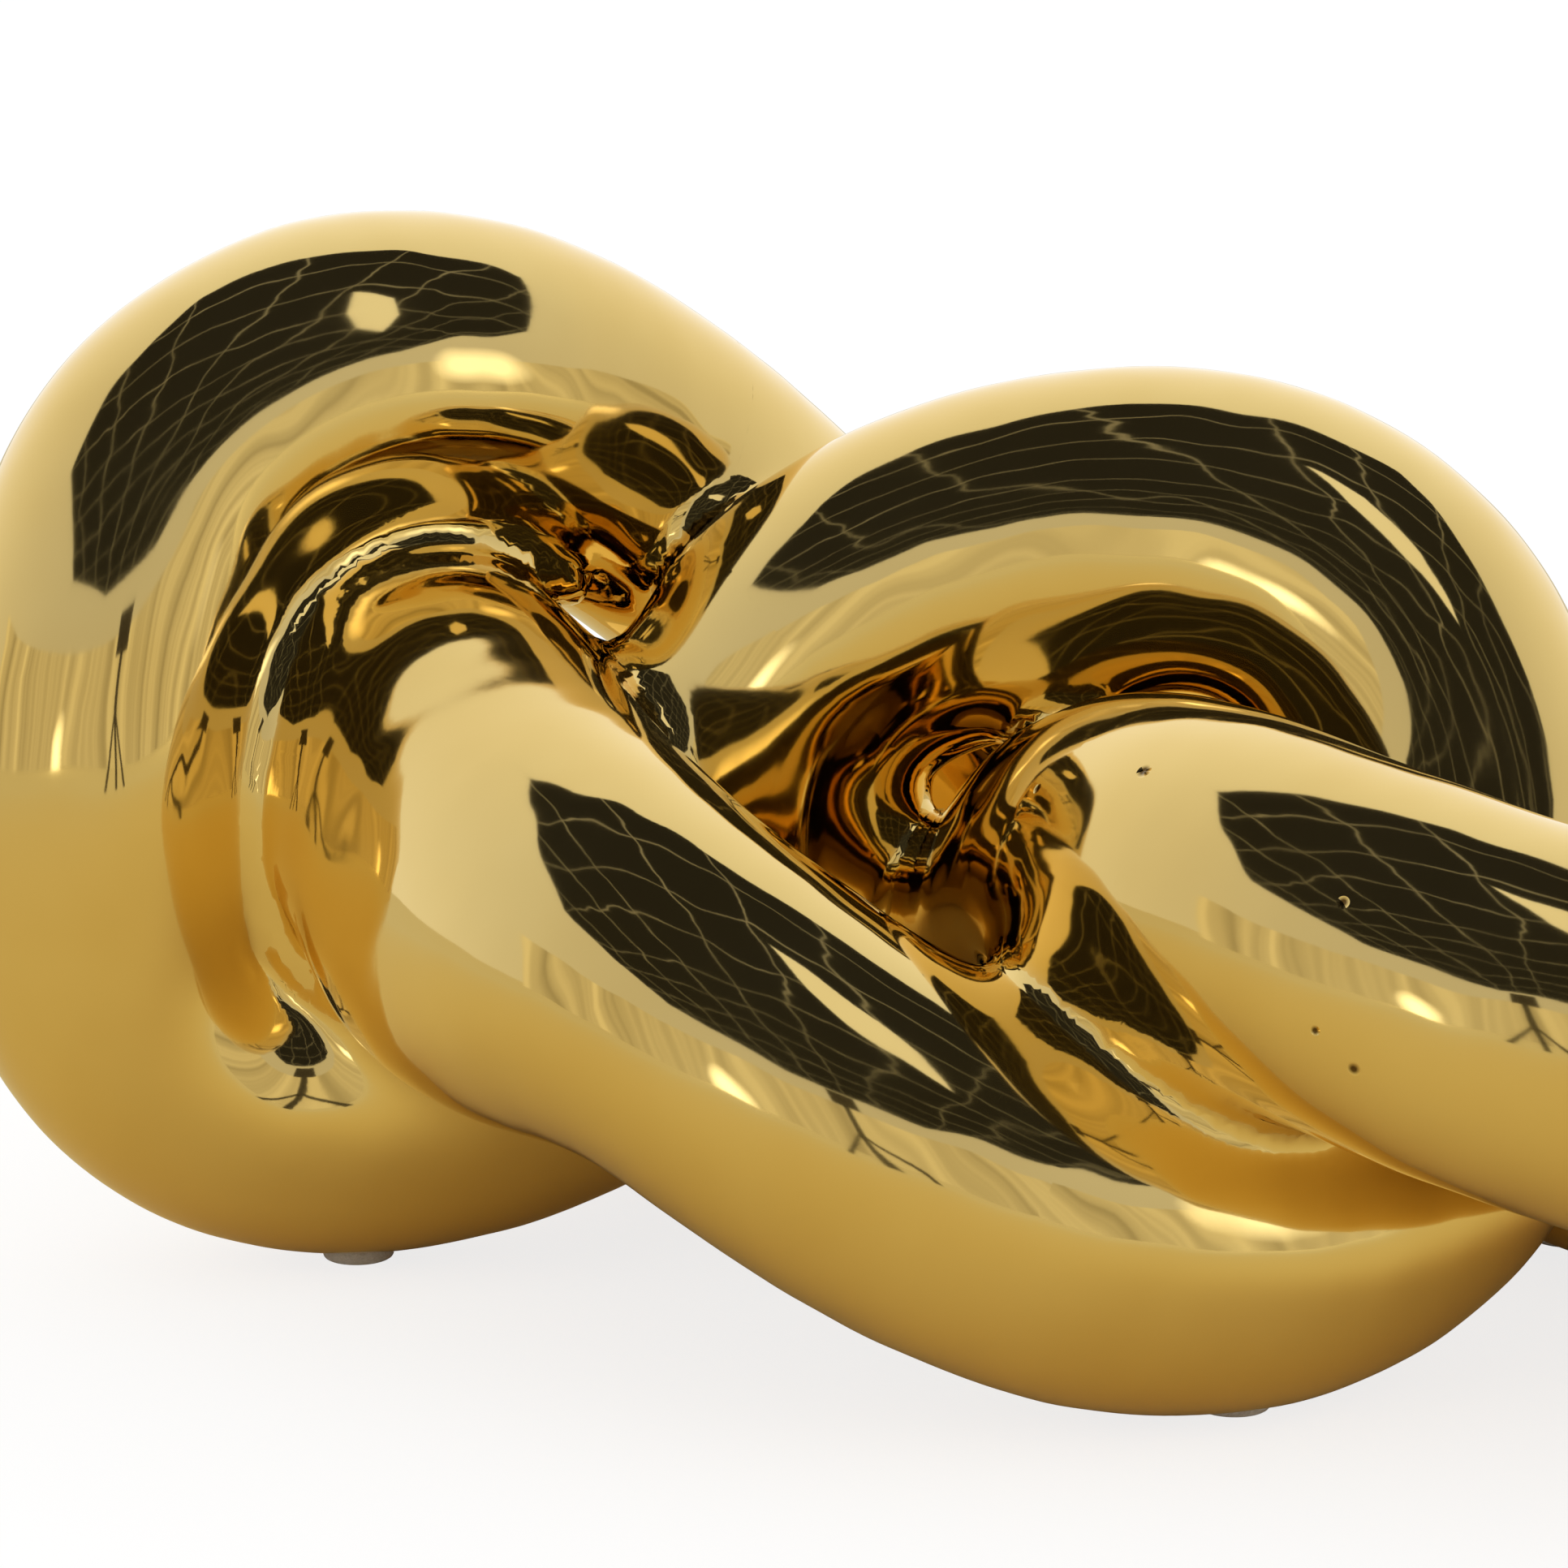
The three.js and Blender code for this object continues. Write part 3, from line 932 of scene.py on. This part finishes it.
def screen_material():
    """The dark overhead screen, with a wandering net of glowing seams painted as lines of light."""
    shader = Shader("screen")
    wander = shader.node("ShaderNodeTexNoise", Vector=shader.place(), Scale=NET_WANDER_SCALE,
                         Detail=NET_WANDER_DETAIL).outputs["Color"]
    moved = shader.vector_math("MULTIPLY_ADD", wander, (NET_WANDER, NET_WANDER, 0), shader.place())
    place = shader.parts(moved["Vector"])
    lines = None
    for axis in ("X", "Y"):
        along = shader.math("PINGPONG", place[axis], NET_CELL / 2)
        line = shader.math("LESS_THAN", along, NET_LINE / 2)
        lines = line if lines is None else shader.math("MAXIMUM", lines, line)
    # The seams glow as painted lines of light, and the rest of the screen glows faintly dark
    return glowing(shader, shader.math("ADD", shader.math("MULTIPLY", lines, SCREEN_SEAM_GLOW), SCREEN_DARK))


def floor_material():
    """Pale floor that is lifted to white for the camera and keeps the object's shadow, with painted gold
    light near the knot for other rays.
    """
    shader = Shader("floor")
    camera_ray = shader.node("ShaderNodeLightPath").outputs["Is Camera Ray"]
    away = shader.spread(shader.from_middle(), (FLOOR_NEAR, FLOOR_FAR))
    # Painted gold light from the lustre on the floor near the knot, fading to the open floor's tone, for
    # every ray but the camera's
    mirrored = shader.blend(away, FLOOR_NEAR_GOLD_BOUNCE, FLOOR_OPEN)
    color = shader.blend(camera_ray, mirrored, FLOOR_PALE)
    shader.set(Base_Color=color, Roughness=1.0, Specular_IOR_Level=0.0)
    light = shader.node("ShaderNodeEmission", Strength=FLOOR_GLOW).outputs[0]
    white = shader.math("MULTIPLY", camera_ray, FLOOR_WHITE)
    mix = shader.tree.nodes.new("ShaderNodeMixShader")
    for value, socket in zip((white, shader.surface.outputs[0], light), mix.inputs):
        feed(shader.tree, value, socket)
    return shader.finish(mix.outputs[0])


def square(x, y, half):
    """Corners of a square round a middle."""
    return [(x - half, y - half), (x + half, y - half), (x + half, y + half), (x - half, y + half)]


def octagon(x, y, half):
    """Corners of a regular octagon round a middle, its sides half away from it."""
    reach = half / math.cos(math.pi / 8)
    turns = [math.pi / 8 + math.pi / 4 * k for k in range(8)]
    return [(x + reach * math.cos(turn), y + reach * math.sin(turn)) for turn in turns]


def softbox(name, turn, rise, away, wide, high, glow):
    """A softbox that faces the knot, its turn counted from the camera's side to the right."""
    around = STUDIO_TURN + math.radians(turn - 90)
    flat = away * math.cos(math.radians(rise))
    up = away * math.sin(math.radians(rise)) + AIM_Z
    place = Vector((flat * math.cos(around), flat * math.sin(around), up))
    facing = (Vector((0, 0, AIM_Z)) - place).to_track_quat("-Z", "Y").to_euler()
    face = level_sheet(name + "_face", square(0, 0, 1), 0, softbox_material(name, glow))
    face.scale = (wide * SOFTBOX_FACE, high * SOFTBOX_FACE, 1)
    only_reflected(face)
    data = bpy.data.lights.new(name, "AREA")
    data.shape = "RECTANGLE"
    data.size, data.size_y = wide, high
    data.energy = glow * math.pi * wide * high
    lamp = add_object(name, data)
    lamp.visible_glossy = False
    for made in (lamp, face):
        made.location = place
        made.rotation_euler = facing


def curtain():
    """The curtain's sheet, bent round the camera's side of the studio."""
    turns = np.linspace(CURTAIN_FROM, CURTAIN_TO, CURTAIN_STEPS)
    low = [(CURTAIN_R * math.sin(turn), -CURTAIN_R * math.cos(turn), 0.0) for turn in turns]
    high = [(x, y, CURTAIN_HIGH) for x, y, _ in low]
    count = len(low)
    faces = [(k, k + 1, count + k + 1, count + k) for k in range(count - 1)]
    return stage_mesh("curtain", low + high, faces, curtain_material())


def camera_stand():
    """Dark outline of a camera's stand in front of the knot."""
    corners = [(x, STAND_Y, up) for shape in STAND_SHAPES for x, up in shape]
    faces = [tuple(range(4 * k, 4 * k + 4)) for k in range(len(STAND_SHAPES))]
    return stage_mesh("camera_stand", corners, faces, glowing(Shader("camera_stand"), STAND_COLOR))


level_sheet("floor", square(0, 0, FLOOR_HALF), 0, floor_material())
only_reflected(level_sheet("screen", octagon(SCREEN_X, SCREEN_Y, SCREEN_HALF), SCREEN_Z, screen_material()))
only_reflected(level_sheet("window", WINDOW, SCREEN_Z - WINDOW_DROP, glowing(Shader("window"), WINDOW_COLOR)))
only_reflected(camera_stand())
only_reflected(curtain())
for name, values in SOFTBOXES.items():
    softbox(name, *values)

world = bpy.data.worlds.new("studio")
bpy.context.scene.world = world
world.use_nodes = True
sky = world.node_tree


def sky_math(operation, first, second):
    return operation_node(sky, "ShaderNodeMath", operation, first, second).outputs[0]


# White to the camera, brightest behind the knot in its reflections, and even light on everything else
ray = sky.nodes.new("ShaderNodeLightPath").outputs
behind = (-math.sin(STUDIO_TURN), math.cos(STUDIO_TURN), 0)
way = sky.nodes.new("ShaderNodeTexCoord").outputs["Generated"]
depth = operation_node(sky, "ShaderNodeVectorMath", "DOT_PRODUCT", way, behind).outputs["Value"]
share = sky_math("POWER", sky_math("MULTIPLY", sky_math("ADD", depth, 1.0), 0.5), LEVEL_POWER)
mirror_level = sky_math("ADD", sky_math("MULTIPLY", share, BACK_LEVEL - FRONT_LEVEL), FRONT_LEVEL)
mirror_extra = sky_math("SUBTRACT", mirror_level, DIFFUSE_LEVEL)
mirrored = sky_math("MAXIMUM", ray["Is Glossy Ray"], ray["Is Transmission Ray"])
level = sky_math("ADD", sky_math("MULTIPLY", mirrored, mirror_extra), DIFFUSE_LEVEL)
level = sky_math("MAXIMUM", level, ray["Is Camera Ray"])
sky.links.new(level, sky.nodes["Background"].inputs["Strength"])
sky.nodes["Background"].inputs["Color"].default_value = (1, 1, 1, 1)

bpy.context.scene.view_settings.view_transform = "Standard"
